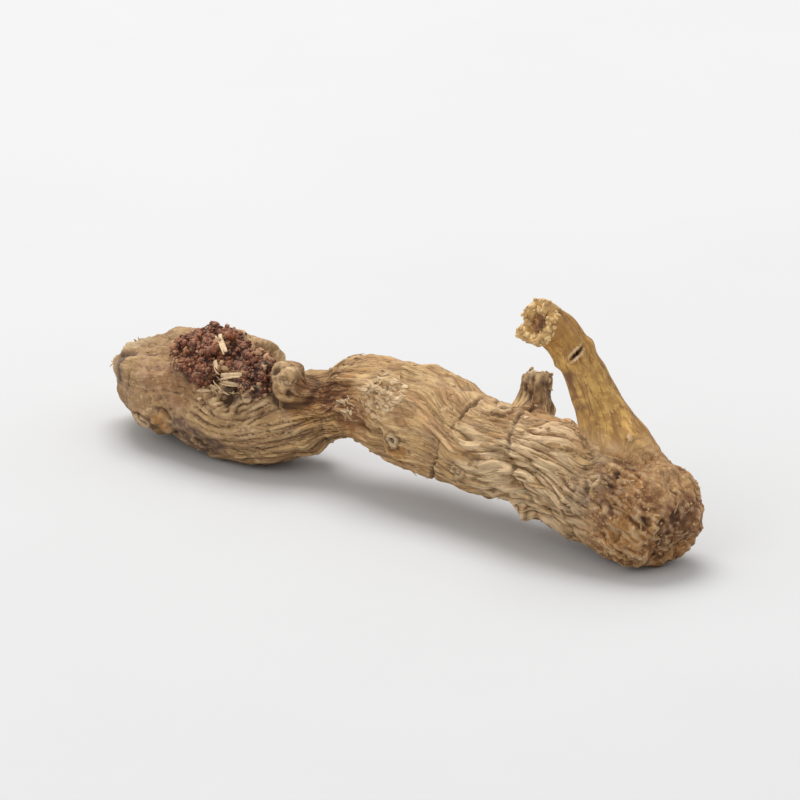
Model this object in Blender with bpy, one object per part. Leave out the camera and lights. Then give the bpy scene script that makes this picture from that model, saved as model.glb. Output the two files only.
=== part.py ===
"""One dried Solomon's seal rhizome, lying on a table.

From its old broken end it runs through a swollen joint that carries a crusted stem scar, a thin
humped neck and a long furrowed stretch with node lines, to a blunt growing end. A slim side shoot
rises from the growing end to the place where it was cut. All of it grew as one piece, so it is one
closed solid. Metres, +Z up; the root lies along X and rests on small flats at z = 0.
"""

import math
import random
from collections import namedtuple

import bmesh
import bpy
from mathutils import Matrix, Vector, noise

LENGTH = 0.076          # old end to growing end, along X
GIRTH = 0.0104          # thickness of the furrowed middle stretch
SHOOT_GIRTH = 0.0042    # thickness of the side shoot
SIDES = 56              # faces round the rhizome
SHOOT_SIDES = 20
MM = 0.001

UP = Vector((0, 0, 1))

# A station of the rhizome: how far along LENGTH it stands, where its middle is sideways and above
# the table, and its half width and half height, these four as shares of GIRTH.
Station = namedtuple("Station", "share side height half_width half_height")
STATIONS = (
    Station(0.00, 0.14, 0.50, 0.21, 0.18),    # rim of the broken old end
    Station(0.05, 0.09, 0.47, 0.41, 0.35),
    Station(0.11, 0.02, 0.495, 0.57, 0.48),
    Station(0.18, -0.06, 0.49, 0.66, 0.54),   # widest place of the swollen joint
    Station(0.25, -0.10, 0.465, 0.62, 0.54),
    Station(0.30, -0.09, 0.475, 0.53, 0.49),
    Station(0.34, -0.05, 0.545, 0.41, 0.40),
    Station(0.38, 0.00, 0.67, 0.33, 0.30),    # neck
    Station(0.42, 0.03, 0.78, 0.37, 0.36),
    Station(0.48, 0.05, 0.81, 0.46, 0.44),    # top of the hump
    Station(0.55, 0.03, 0.75, 0.50, 0.46),
    Station(0.63, -0.01, 0.69, 0.50, 0.44),
    Station(0.74, -0.05, 0.67, 0.51, 0.46),
    Station(0.84, -0.05, 0.59, 0.54, 0.49),
    Station(0.92, -0.02, 0.48, 0.56, 0.52),   # foot of the side shoot
    Station(1.00, 0.00, 0.44, 0.53, 0.47),    # growing end
)

# How far apart the rings of faces stand, in shares of LENGTH, up to a place along it: closer on
# the swollen joint and on the growing end than on the furrowed stretch.
RING_STEPS = ((0.42, 0.0124), (0.86, 0.0200), (0.945, 0.0124))
TIP_RINGS = 7

# A station of the side shoot, seen from its foot inside the growing end: how far back, sideways
# and up, then its thickness, all as shares of SHOOT_GIRTH.
SHOOT_FOOT = 0.93       # share of LENGTH
ShootStation = namedtuple("ShootStation", "back side rise thickness")
SHOOT = (
    ShootStation(0.20, 0.05, 0.20, 1.75),
    ShootStation(0.70, 0.02, 1.22, 1.68),
    ShootStation(1.19, 0.00, 1.95, 1.24),
    ShootStation(1.67, -0.15, 2.96, 0.98),
    ShootStation(2.02, -0.36, 3.67, 0.94),    # node
    ShootStation(2.26, -0.72, 4.24, 1.00),    # from here the shoot bends towards the front
    ShootStation(2.38, -1.20, 4.46, 1.14),    # cut end, flared
)
SHOOT_NODE = 0.64       # share of the shoot's stations
SHOOT_RINGS = 22

# A node line: share of LENGTH, slant in shares of GIRTH, height of its lip.
NodeLine = namedtuple("NodeLine", "share slant lip")
NODE_LINES = (
    NodeLine(0.095, 0.10, 0.25 * MM),
    NodeLine(0.330, -0.12, 0.30 * MM),
    NodeLine(0.415, 0.10, 0.25 * MM),
    NodeLine(0.520, 0.20, 0.26 * MM),
    NodeLine(0.635, -0.16, 0.34 * MM),
    NodeLine(0.735, 0.22, 0.30 * MM),
    NodeLine(0.860, -0.14, 0.38 * MM),
)
NODE_WIDTH = 1.1 * MM

# Root stubs on the front, at the places where the thin roots broke off: share of LENGTH and turn.
# Behind and below, chance places them near the node lines.
FRONT_STUBS = ((0.541, 192), (0.700, 103), (0.661, 197), (0.902, 141), (0.118, 205), (0.777, 222))
HIDDEN_STUBS = 9

# Raised or sunk places of the skin: share of LENGTH, turn round the rhizome in degrees from the
# back over the top, radius, height, and which part of the radius is its slope.
Lump = namedtuple("Lump", "share turn radius height slope")
CRUST_LUMPS = (
    Lump(0.204, 111, 4.7 * MM, 1.4 * MM, 0.28),   # large half of the stem scar
    Lump(0.300, 124, 3.1 * MM, 2.0 * MM, 0.40),   # small half, towards the neck
)
SKIN_LUMPS = (
    Lump(0.254, 122, 2.2 * MM, -1.5 * MM, 0.9),   # cleft between the halves of the scar
    Lump(0.165, 250, 3.4 * MM, -0.9 * MM, 0.8),   # fissure low on the swollen joint
    Lump(0.487, 135, 2.8 * MM, 0.6 * MM, 0.5),    # torn node scar on the hump
    Lump(0.518, 204, 2.2 * MM, -0.9 * MM, 0.8),   # hollow beside the hump's root scar
    Lump(0.700, 330, 3.4 * MM, -0.6 * MM, 1.0),
    Lump(0.800, 20, 2.6 * MM, 0.6 * MM, 1.0),
    Lump(0.180, 35, 4.4 * MM, 1.0 * MM, 0.5),     # second scar, behind
    Lump(0.885, 195, 2.6 * MM, -0.5 * MM, 1.0),
    Lump(0.945, 215, 3.0 * MM, 0.6 * MM, 1.0),
    Lump(0.900, 100, 5.4 * MM, 0.9 * MM, 1.0),    # swelling from which the side shoot rises
)

FURROW_DEPTH = 1.15 * MM
FURROWS_ROUND = 2.3     # size of the noise that one trip round the rhizome crosses
FURROW_LENGTH = 19 * MM
GRAIN_SIZE = 1.5 * MM
CRUST_GRAIN = 0.75 * MM
END_GRAIN = 0.42 * MM
REST_SINK = 0.30 * MM   # how deep the flats are ground into the underside
SEED = 7


def blend(low, high, value):
    """0 at low, 1 at high, and smooth between them."""
    t = min(1.0, max(0.0, (value - low) / (high - low)))
    return t * t * (3 - 2 * t)


def along_curve(knots, values, at):
    """The value at a place on a smooth curve through values, which stand at the rising knots."""
    last = len(knots) - 1
    i = max(0, min(last - 1, sum(knot <= at for knot in knots) - 1))

    def slope(k):
        before, after = max(0, k - 1), min(last, k + 1)
        return (values[after] - values[before]) / (knots[after] - knots[before])

    span = knots[i + 1] - knots[i]
    t = (at - knots[i]) / span
    rise = 3 * t**2 - 2 * t**3
    return (
        (1 - rise) * values[i]
        + rise * values[i + 1]
        + (t**3 - 2 * t**2 + t) * span * slope(i)
        + (t**3 - t**2) * span * slope(i + 1)
    )


def rhizome_axis(share):
    """The middle of the rhizome at a share of its length."""
    knots = [s.share for s in STATIONS]
    side = along_curve(knots, [s.side for s in STATIONS], share)
    height = along_curve(knots, [s.height for s in STATIONS], share)
    return Vector((share * LENGTH, side * GIRTH, height * GIRTH))


def rhizome_size(share):
    """Half width and half height at a share of the length."""
    knots = [s.share for s in STATIONS]
    return (
        GIRTH * along_curve(knots, [s.half_width for s in STATIONS], share),
        GIRTH * along_curve(knots, [s.half_height for s in STATIONS], share),
    )


def cross_axes(axis, share):
    """Two directions across an axis at a share of it: level, and near upright."""
    step = 0.004
    forward = (axis(min(1, share + step)) - axis(max(0, share - step))).normalized()
    level = UP.cross(forward).normalized()
    return level, forward.cross(level)


def smooth_skin(share, turn, scale=1.0, lean=0.0):
    """A point of the rhizome's plain oval skin, and the outward direction there.

    Over the rounded growing end the direction leans forward, up to 1 at its tip.
    """
    level, upright = cross_axes(rhizome_axis, share)
    half_width, half_height = rhizome_size(share)
    arm = level * half_width * math.cos(turn) + upright * half_height * math.sin(turn)
    outward = arm.normalized() * math.sqrt(1 - lean**2) + level.cross(upright) * lean
    return rhizome_axis(share) + arm * scale, outward


def placed(lumps):
    """Each lump with the point of the plain skin that it stands on."""
    return [(lump, smooth_skin(lump.share, math.radians(lump.turn))[0]) for lump in lumps]


CRUST_PLACES = placed(CRUST_LUMPS)
SKIN_PLACES = placed(SKIN_LUMPS)


def lump_share(point, lump, centre):
    """1 on the flat of a lump, falling to 0 over its slope."""
    return 1 - blend(lump.radius * (1 - lump.slope), lump.radius, (point - centre).length)


def grain(point, size):
    """Uneven lumps of about one size, from -1 to 1."""
    return noise.noise(point / size) + 0.5 * noise.noise(point / size * 2.1)


def furrows(along, turn, rounds, seed):
    """Long ridges that wander, split and meet, as shrunken skin has: 1 on a ridge, 0 in a furrow."""
    wander = 0.5 * noise.noise(Vector((along / FURROW_LENGTH * 2.2, seed, math.sin(turn))))
    place = Vector((
        rounds * math.cos(turn + wander),
        rounds * math.sin(turn + wander),
        along / FURROW_LENGTH + seed,
    ))
    broad = abs(noise.noise(place)) ** 0.75
    fine = abs(noise.noise(place * 2.2 + UP * 5)) ** 0.8
    return 1.25 * broad + 0.55 * fine


def node_relief(share, turn):
    """A raised lip with a fine groove beside it at each node line."""
    height = 0.0
    for line in NODE_LINES:
        slanted = line.share * LENGTH + line.slant * GIRTH * math.sin(turn + line.share * 40)
        offset = (share * LENGTH - slanted) / NODE_WIDTH
        lip = max(0.0, 1 - offset**2) ** 2
        groove = max(0.0, 1 - (offset + 1.2) ** 2) ** 2
        height += line.lip * (lip - 0.8 * groove)
    return height


def rhizome_relief(point, share, turn, lean):
    """Height of the skin over its plain oval, in metres. The furrows die out over the tip."""
    crusted = max(lump_share(point, lump, centre) for lump, centre in CRUST_PLACES)
    growing_end = blend(0.86, 0.93, share)
    joint = 1 - blend(0.28, 0.40, share)
    depth = FURROW_DEPTH * (1 - 0.45 * joint) * (1 - 0.65 * growing_end) * (1 - crusted)
    depth *= max(0.0, 1 - 1.5 * lean)
    height = depth * (furrows(share * LENGTH, turn, FURROWS_ROUND, 3.0) - 0.55)
    height += 0.35 * MM * grain(point, GRAIN_SIZE * 2.6)
    height += END_GRAIN * growing_end * grain(point, GRAIN_SIZE)
    height += CRUST_GRAIN * crusted * grain(point + UP, GRAIN_SIZE)
    height += node_relief(share, turn) * (1 - crusted)
    for lump, centre in CRUST_PLACES + SKIN_PLACES:
        height += lump.height * lump_share(point, lump, centre)
    return height


def rhizome_skin(share, turn, scale=1.0, lean=0.0):
    """A point of the finished skin, on the ring that the scale draws in from the full oval."""
    point, outward = smooth_skin(share, turn, scale, lean)
    return point + outward * rhizome_relief(point, share, turn, lean) * max(scale, lean)


def rhizome_rings():
    """(share, scale, lean) of each ring, from the bottom of the old end's hollow to the tip."""
    rings = [(0.045, 0.18, 0), (0.040, 0.45, 0), (0.024, 0.66, 0), (0.006, 0.80, 0), (0, 1, 0)]
    share = 0.0
    for until, step in RING_STEPS:
        for _ in range(round((until - share) / step)):
            share += step
            rings.append((share, 1.0, 0.0))
    for i in range(1, TIP_RINGS):
        angle = math.pi / 2 * i / TIP_RINGS
        rings.append((share + (1 - share) * math.sin(angle), math.cos(angle) ** 0.8, math.sin(angle)))
    return rings


def stitched(name, rings, first, last):
    """A closed object from rings of points, one after the other, and the points that end it."""
    mesh = bmesh.new()
    rows = [[mesh.verts.new(p) for p in ring] for ring in rings]
    sides = len(rows[0])
    start, end = mesh.verts.new(first), mesh.verts.new(last)
    for i in range(sides):
        k = (i + 1) % sides
        mesh.faces.new((start, rows[0][k], rows[0][i]))
        for low, high in zip(rows, rows[1:]):
            mesh.faces.new((low[i], low[k], high[k], high[i]))
        mesh.faces.new((end, rows[-1][i], rows[-1][k]))
    bmesh.ops.recalc_face_normals(mesh, faces=mesh.faces)
    data = bpy.data.meshes.new(name)
    mesh.to_mesh(data)
    mesh.free()
    made = bpy.data.objects.new(name, data)
    bpy.context.scene.collection.objects.link(made)
    return made


def rhizome():
    rings = rhizome_rings()
    turns = [2 * math.pi * i / SIDES for i in range(SIDES)]
    points = [[rhizome_skin(share, turn, *shape) for turn in turns] for share, *shape in rings]
    return stitched("rhizome", points, rhizome_axis(rings[0][0]), rhizome_skin(1.0, 0.0, 0.0, 1.0))


def shoot_axis(share):
    """The middle of the side shoot, from its foot inside the rhizome to its cut."""
    knots = [i / (len(SHOOT) - 1) for i in range(len(SHOOT))]
    foot = rhizome_axis(SHOOT_FOOT)
    back = along_curve(knots, [s.back for s in SHOOT], share)
    side = along_curve(knots, [s.side for s in SHOOT], share)
    rise = along_curve(knots, [s.rise for s in SHOOT], share)
    return foot + Vector((-back, side, rise)) * SHOOT_GIRTH


def shoot_skin(share, turn, scale=1.0):
    """A point of the side shoot, with its shallow ribs, its node and its crumbled cut rim."""
    knots = [i / (len(SHOOT) - 1) for i in range(len(SHOOT))]
    radius = SHOOT_GIRTH / 2 * along_curve(knots, [s.thickness for s in SHOOT], share)
    level, upright = cross_axes(shoot_axis, share)
    outward = level * math.cos(turn) + upright * math.sin(turn)
    forward = level.cross(upright)
    ribs = 0.45 * MM * (furrows(share * LENGTH * 0.5, turn, 1.1, 9.0) - 0.5)
    node = 0.30 * MM * max(0.0, 1 - abs(share - SHOOT_NODE) / 0.03)
    rim = blend(0.90, 1.0, share)
    crumbs = rim * noise.noise(Vector((3.4 * math.cos(turn), 3.4 * math.sin(turn), 0.5)))
    reach = radius * scale + (ribs + node + 0.35 * MM * crumbs) * scale
    return shoot_axis(share) + outward * reach + forward * crumbs * 0.45 * MM


def side_shoot():
    """The side shoot; its last rings turn in over the cut rim and down into the pithy hollow."""
    rings = [(i / SHOOT_RINGS, 1.0) for i in range(SHOOT_RINGS + 1)]
    rings += [(1.0, 0.78), (0.985, 0.58), (0.945, 0.45), (0.930, 0.22)]
    turns = [2 * math.pi * i / SHOOT_SIDES for i in range(SHOOT_SIDES)]
    points = [[shoot_skin(share, turn, scale) for turn in turns] for share, scale in rings]
    return stitched("side_shoot", points, shoot_axis(0.0), shoot_axis(0.93))


def peg(name, base, outward, radius, profile, sides, draw, unevenness):
    """A short outgrowth on a point of the skin, from rings at (height, share of the radius)."""
    level = outward.orthogonal().normalized()
    across = outward.cross(level)
    start = draw.uniform(0, 2 * math.pi)
    uneven = [1 + draw.uniform(-unevenness, unevenness) for _ in range(sides)]
    rings = []
    for height, scale in profile:
        ring = []
        for i in range(sides):
            turn = start + 2 * math.pi * i / sides
            arm = (level * math.cos(turn) + across * math.sin(turn)) * radius * scale * uneven[i]
            ring.append(base + outward * (height + radius * 0.25 * (uneven[i] - 1)) + arm)
        rings.append(ring)
    first = base + outward * profile[0][0]
    last = base + outward * profile[-1][0]
    return stitched(name, rings, first, last)


def leaned(outward, draw, amount):
    """A direction turned a little away from the given one."""
    return (outward + Vector([draw.uniform(-amount, amount) for _ in range(3)])).normalized()


def root_stubs(draw):
    """Stubs of the thin roots, broken off nearly flush, with a raised rim and a pitted middle."""
    places = list(FRONT_STUBS)
    for n in range(HIDDEN_STUBS):
        line = NODE_LINES[n % len(NODE_LINES)]
        places.append((line.share + draw.uniform(-0.022, 0.022), draw.uniform(235, 400)))
    stubs = []
    for n, (share, turn) in enumerate(places):
        base = rhizome_skin(share, math.radians(turn))
        outward = leaned(smooth_skin(share, math.radians(turn))[1], draw, 0.15)
        radius = draw.uniform(0.62, 0.88) * MM
        tall = draw.uniform(0.25, 0.60) * MM
        profile = (
            (-1.3 * MM, 1.3),
            (-0.1 * MM, 1.45),
            (tall * 0.6, 1.10),
            (tall, 0.82),
            (tall * 0.9, 0.50),
            (tall * 0.2, 0.32),
        )
        stubs.append(peg(f"root_stub_{n}", base, outward, radius, profile, 7, draw, 0.14))
    return stubs


def broken_bud(draw):
    """The stub of a second shoot, behind the top of the furrowed stretch."""
    share, turn = 0.705, math.radians(62)
    base = rhizome_skin(share, turn)
    outward = (smooth_skin(share, turn)[1] + Vector((-0.15, 0, 0.7))).normalized()
    profile = (
        (-1.4 * MM, 1.3),
        (0.0, 1.35),
        (1.2 * MM, 1.0),
        (2.5 * MM, 0.85),
        (3.0 * MM, 0.62),
        (2.6 * MM, 0.35),
    )
    return peg("broken_bud", base, outward, 1.7 * MM, profile, 12, draw, 0.14)


def pale_knob(draw):
    """A small bud that dried beside the stem scar, towards the neck."""
    share, turn = 0.350, math.radians(130)
    outward = leaned(smooth_skin(share, turn)[1], draw, 0.1)
    base = rhizome_skin(share, turn)
    profile = (
        (-1.2 * MM, 0.9),
        (0.0, 1.12),
        (0.8 * MM, 1.0),
        (1.5 * MM, 0.72),
        (1.75 * MM, 0.35),
    )
    return peg("pale_knob", base, outward, 1.8 * MM, profile, 12, draw, 0.10)


def scar_fibres(draw):
    """Stiff straw-like ends of the torn stem, lying half sunk across the cleft of the scar."""
    fibres = []
    for n, (share, turn, spin, length) in enumerate((
        (0.246, 128, 20, 3.6 * MM),
        (0.256, 137, 4, 4.2 * MM),
        (0.262, 147, -8, 3.2 * MM),
        (0.226, 112, 78, 3.0 * MM),
    )):
        turn = math.radians(turn)
        base = rhizome_skin(share, turn)
        outward = smooth_skin(share, turn)[1]
        run = Vector((1, 0, 0)) - outward * outward.x
        run = Matrix.Rotation(math.radians(spin), 3, outward) @ run.normalized()
        run = (run + outward * draw.uniform(0.05, 0.12)).normalized()
        across = run.cross(outward).normalized()
        rings = []
        for t, half in ((0.0, 0.36), (0.3, 0.44), (0.75, 0.40), (1.0, 0.30)):
            middle = base + run * length * (t - 0.45) + outward * 0.20 * MM
            rings.append([
                middle + (across * math.cos(a) + outward * math.sin(a)) * half * MM
                for a in (0.3, 1.35, 2.4, 3.44, 4.5, 5.5)
            ])
        first = base + run * length * -0.48 + outward * 0.20 * MM
        last = base + run * length * 0.60 + outward * 0.28 * MM
        fibres.append(stitched(f"scar_fibre_{n}", rings, first, last))
    return fibres


def grown_together(body, pieces):
    """One closed body of the rhizome and everything that grows from it."""
    group = bpy.data.collections.new("outgrowths")
    bpy.context.scene.collection.children.link(group)
    for piece in pieces:
        bpy.context.scene.collection.objects.unlink(piece)
        group.objects.link(piece)
    union = body.modifiers.new("outgrowths", "BOOLEAN")
    union.operation = "UNION"
    union.solver = "EXACT"
    union.operand_type = "COLLECTION"
    union.collection = group
    graph = bpy.context.evaluated_depsgraph_get()
    data = bpy.data.meshes.new_from_object(body.evaluated_get(graph))
    body.modifiers.clear()
    body.data = data
    for piece in pieces:
        bpy.data.objects.remove(piece)
    bpy.data.collections.remove(group)


def laid_down(body):
    """Grinds the small resting flats and puts the origin under the middle of the box."""
    mesh = bmesh.new()
    mesh.from_mesh(body.data)
    floor = min(v.co.z for v in mesh.verts) + REST_SINK
    cut = bmesh.ops.bisect_plane(
        mesh,
        geom=mesh.verts[:] + mesh.edges[:] + mesh.faces[:],
        dist=1e-7,
        plane_co=(0, 0, floor),
        plane_no=(0, 0, 1),
        clear_inner=True,
    )
    rims = [e for e in cut["geom_cut"] if isinstance(e, bmesh.types.BMEdge)]
    bmesh.ops.holes_fill(mesh, edges=rims)
    bmesh.ops.recalc_face_normals(mesh, faces=mesh.faces)
    low = [min(v.co[k] for v in mesh.verts) for k in range(3)]
    high = [max(v.co[k] for v in mesh.verts) for k in range(3)]
    middle = Vector(((low[0] + high[0]) / 2, (low[1] + high[1]) / 2, low[2]))
    bmesh.ops.translate(mesh, verts=mesh.verts, vec=-middle)
    mesh.to_mesh(body.data)
    mesh.free()


def dried_root_skin():
    """Tan, dull and slightly rough, as a dried rhizome is."""
    material = bpy.data.materials.new("dried_root")
    material.use_nodes = True
    shader = material.node_tree.nodes["Principled BSDF"]
    shader.inputs["Base Color"].default_value = (0.36, 0.22, 0.105, 1)
    shader.inputs["Roughness"].default_value = 0.72
    shader.inputs["Metallic"].default_value = 0.0
    return material


for leftover in list(bpy.data.objects):
    bpy.data.objects.remove(leftover)
lots = random.Random(SEED)
root = rhizome()
outgrowths = [side_shoot(), broken_bud(lots), pale_knob(lots)]
outgrowths += root_stubs(lots) + scar_fibres(lots)
grown_together(root, outgrowths)
laid_down(root)
root.data.materials.clear()
root.data.materials.append(dried_root_skin())
root.data.shade_smooth()
root.data.set_sharp_from_angle(angle=math.radians(50))
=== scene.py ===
"""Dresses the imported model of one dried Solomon's seal rhizome, which lies on a pale table top.

Its solid keeps its place and form. Over it come the shrunken skin with its fine wrinkles, the crumbly
crust of the stem scar, torn fibres, the crumbs of the shoot's cut end, and bits of loose bark. The root
lies along X with its old broken end at -X, and the scar and the cut end face -Y. The root's sizes are in
millimetres, and those of the floor, the lights and the camera in metres.
"""

import math

import bmesh
import bpy
import numpy as np
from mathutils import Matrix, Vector, noise


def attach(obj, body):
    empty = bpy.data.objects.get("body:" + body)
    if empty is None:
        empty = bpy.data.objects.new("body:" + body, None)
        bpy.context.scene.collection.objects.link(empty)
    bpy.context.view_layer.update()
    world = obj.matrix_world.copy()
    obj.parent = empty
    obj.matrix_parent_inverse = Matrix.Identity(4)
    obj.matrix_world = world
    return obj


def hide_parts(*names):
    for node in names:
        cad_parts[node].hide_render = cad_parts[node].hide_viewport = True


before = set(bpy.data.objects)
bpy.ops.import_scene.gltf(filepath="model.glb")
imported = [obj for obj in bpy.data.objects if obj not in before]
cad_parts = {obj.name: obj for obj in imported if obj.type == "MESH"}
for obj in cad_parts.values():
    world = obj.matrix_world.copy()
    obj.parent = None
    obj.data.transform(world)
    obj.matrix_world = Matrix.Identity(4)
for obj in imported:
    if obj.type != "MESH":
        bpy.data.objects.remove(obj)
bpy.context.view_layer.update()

# The skin of the rhizome
# One closed skin grew round the whole root: swollen joint, thin neck, furrowed stretch, growing end and side
# shoot. It shrank round the drying flesh, so it lies in long furrows that split and meet, broken across into
# little plates, with raisin-like folds on the growing end and only soft ribs on the waxy shoot.
MM = 0.001
SKIN_STEP = 0.205 * MM      # size of the skin's faces
FACES_KEPT = 0.93           # share of them that is kept: the smoothest places get by with fewer
ROOT_LENGTH = 76.0
ROOT_GIRTH = 10.4
OLD_END = np.array((-37.94, 0.34, 0.55))
# share of the length, then sideways, height, half width and half height as shares of the girth
ROOT_LINE = np.array((
    (0.00, 0.14, 0.50, 0.21, 0.18),
    (0.05, 0.09, 0.47, 0.41, 0.35),
    (0.11, 0.02, 0.495, 0.57, 0.48),
    (0.18, -0.06, 0.49, 0.66, 0.54),
    (0.25, -0.10, 0.465, 0.62, 0.54),
    (0.30, -0.09, 0.475, 0.53, 0.49),
    (0.34, -0.05, 0.545, 0.41, 0.40),
    (0.38, 0.00, 0.67, 0.33, 0.30),
    (0.42, 0.03, 0.78, 0.37, 0.36),
    (0.48, 0.05, 0.81, 0.46, 0.44),
    (0.55, 0.03, 0.75, 0.50, 0.46),
    (0.63, -0.01, 0.69, 0.50, 0.44),
    (0.74, -0.05, 0.67, 0.51, 0.46),
    (0.84, -0.05, 0.59, 0.54, 0.49),
    (0.92, -0.02, 0.48, 0.56, 0.52),
    (1.00, 0.00, 0.44, 0.53, 0.47),
))
SHOOT_FOOT = 0.93           # share of the root's length
SHOOT_GIRTH = 4.2
# back, sideways, up and thickness, as shares of the shoot's girth
SHOOT_LINE = np.array((
    (0.20, 0.05, 0.20, 1.75),
    (0.70, 0.02, 1.22, 1.68),
    (1.19, 0.00, 1.95, 1.24),
    (1.67, -0.15, 2.96, 0.98),
    (2.02, -0.36, 3.67, 0.94),
    (2.26, -0.72, 4.24, 1.00),
    (2.38, -1.20, 4.46, 1.14),
))
# node lines across the root: share of the length, slant in shares of the girth, and depth
NODE_LINES = (
    (0.095, 0.10, 0.16), (0.400, 0.10, 0.16), (0.624, 0.21, 0.36), (0.787, -0.45, 0.34), (0.872, 0.15, 0.16),
)
# scars of the thin roots: share of the length and turn in degrees, from the back over the top
ROOT_SCARS = ((0.541, 192), (0.700, 103), (0.661, 197), (0.902, 141), (0.118, 205), (0.777, 222))
# the lobes of the stem scar's crust: share, turn, radius, and which part of the radius is its slope
CRUST_LOBES = (
    (0.204, 111, 4.9, 0.30), (0.300, 124, 3.3, 0.40), (0.258, 115, 2.0, 0.50), (0.218, 136, 2.5, 0.50),
    (0.262, 86, 2.8, 0.45), (0.255, 66, 3.3, 0.40), (0.302, 88, 2.6, 0.45),
)
# the cleft between the lobes, which stayed open, and small gaps in it, low on the joint and under the hump:
# place and radius
CLEFT = (-16.9, -6.4, 9.3)
GAPS = (
    (-19.5, -5.7, 9.3, 0.42), (-16.5, -6.6, 8.3, 0.36), (-15.1, -6.8, 9.3, 0.45),
    (-24.0, -5.3, 2.0, 0.28), (-20.2, -6.0, 2.0, 0.34), (-14.3, -5.2, 2.8, 0.22), (0.6, -4.2, 7.6, 0.40),
)
# small torn pits: on the knob, in the bruise low on the joint, and on the growing end
PITS = (
    (-12.5, -4.0, 10.9, 0.42), (-11.6, -3.3, 11.6, 0.32), (-10.8, -4.2, 9.2, 0.48), (-12.5, -4.4, 8.1, 0.42),
    (-23.7, -5.9, 2.3, 0.60), (-21.4, -6.3, 2.5, 0.50), (-20.8, -6.0, 1.9, 0.42),
    (32.5, -3.7, 10.2, 0.45), (32.2, -4.9, 9.6, 0.50), (30.2, -5.5, 8.5, 0.40), (36.6, -4.0, 6.3, 0.55),
    (37.6, -2.5, 5.9, 0.55), (37.8, -1.0, 6.2, 0.85), (37.4, -0.3, 8.7, 0.45),
)
# places with marks of more than one kind: a healed lump low on the joint, a dent beside the old end, and a
# patch on the hump where the bark was rubbed off
HEALED_LUMP = (-26.3, -6.1, 3.4)
OLD_DENT = (-33.4, -4.0, 7.1)
RUBBED_PATCH = (0.8, -3.3, 11.3)
# wide shallow hollows: behind the crust, and where the growing end rounds off below and above. Those below 0
# are swellings: low on the side of the old end, on the knob, and the healed lump.
HOLLOWS = (
    (-17.8, 2.2, 10.4, 5.0, 1.9), (38.6, -1.0, 2.0, 4.6, 1.1), (38.2, 1.5, 9.6, 3.2, 0.6),
    (-32.0, -4.3, 4.2, 5.5, -1.0), (-11.9, -3.3, 11.2, 2.4, -0.7), (*HEALED_LUMP, 1.7, -0.35),
)
TORN_RUN = np.array((0.67, 0.41, 0.62))      # the way in which the strands below the cleft run
END_RUN = np.array((0.70, 0.36, -0.62))      # and the short ridges on the growing end
UP = np.array((0.0, 0.0, 1.0))


def blend(low, high, value):
    """0 at low, 1 at high, and smooth between them."""
    t = np.clip((value - low) / (high - low), 0, 1)
    return t * t * (3 - 2 * t)


def noise_at(places, size=1.0):
    """Uneven lumps of about one size, from -1 to 1, at each row of places."""
    return np.array([noise.noise(place) for place in (places / size).tolist()])


def folds_at(places, size=1.0, steep=2.3):
    """Rounded ridges between sharp furrows: 0 in a furrow, 1 on a ridge."""
    return np.minimum(1, np.abs(noise_at(places, size)) * steep) ** 0.8


def plates_at(places, width):
    """Little plates with narrow cracks between them: 0 in a crack and 1 on a plate, and a number
    from -1 to 1 that is each plate's own."""
    found = [noise.voronoi(place) for place in places.tolist()]
    cracks = blend(0, width, np.array([gap[1] - gap[0] for gap, _ in found]))
    own = np.array([noise.noise(middle[0] * 5.3) for _, middle in found])
    return cracks, np.clip(own * 2, -1, 1)


def root_line_at(along):
    """Middle (sideways, height) and half width and half height of the root at places along X."""
    share = (along - OLD_END[0]) / ROOT_LENGTH
    side, height, half_width, half_height = (
        np.interp(share, ROOT_LINE[:, 0], column) * ROOT_GIRTH for column in ROOT_LINE[:, 1:].T
    )
    return side + OLD_END[1], height + OLD_END[2], half_width, half_height


def skin_place(share, degrees):
    """A point of the root's plain oval, and the outward direction there."""
    along = OLD_END[0] + share * ROOT_LENGTH
    side, height, half_width, half_height = root_line_at(along)
    turn = math.radians(degrees)
    arm = np.array((0, half_width * math.cos(turn), half_height * math.sin(turn)))
    return np.array((along, side, height)) + arm, arm / np.linalg.norm(arm)


def smooth_line(rows, steps=8):
    """A curve through the rows, in short straight steps."""
    padded = np.vstack((2 * rows[0] - rows[1], rows, 2 * rows[-1] - rows[-2]))
    t = (np.arange(steps) / steps)[:, None]
    spans = [
        b + 0.5 * (c - a) * t + (a - 2.5 * b + 2 * c - 0.5 * d) * t**2 + 0.5 * (3 * b - 3 * c + d - a) * t**3
        for a, b, c, d in zip(padded, padded[1:], padded[2:], padded[3:])
    ]
    return np.vstack((*spans, rows[-1:]))


def beside_shoot(places):
    """For each place: how far up the shoot it is, its distance from the middle as a share of the
    shoot's radius there, and its turn round it. Last comes the shoot's whole length."""
    side, height = root_line_at(OLD_END[0] + SHOOT_FOOT * ROOT_LENGTH)[:2]
    foot = np.array((OLD_END[0] + SHOOT_FOOT * ROOT_LENGTH, side, height))
    curve = smooth_line(SHOOT_LINE) * SHOOT_GIRTH
    line = foot + curve[:, :3] * (-1, 1, 1)
    radii = curve[:, 3] / 2
    nearest = np.full(len(places), np.inf)
    rise, reach, turn = np.zeros((3, len(places)))
    walked = 0.0
    for low, high, low_radius, high_radius in zip(line, line[1:], radii, radii[1:]):
        step = high - low
        length = np.linalg.norm(step)
        t = np.clip((places - low) @ step / length**2, 0, 1)
        arm = places - low - t[:, None] * step
        distance = np.linalg.norm(arm, axis=1)
        level = np.cross(UP, step)
        level /= np.linalg.norm(level)
        near = distance < nearest
        nearest[near] = distance[near]
        rise[near] = (walked + t * length)[near]
        reach[near] = (distance / (low_radius + t * (high_radius - low_radius)))[near]
        turn[near] = np.arctan2(arm @ np.cross(step / length, level), arm @ level)[near]
        walked += length
    return rise, reach, turn, walked


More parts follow.
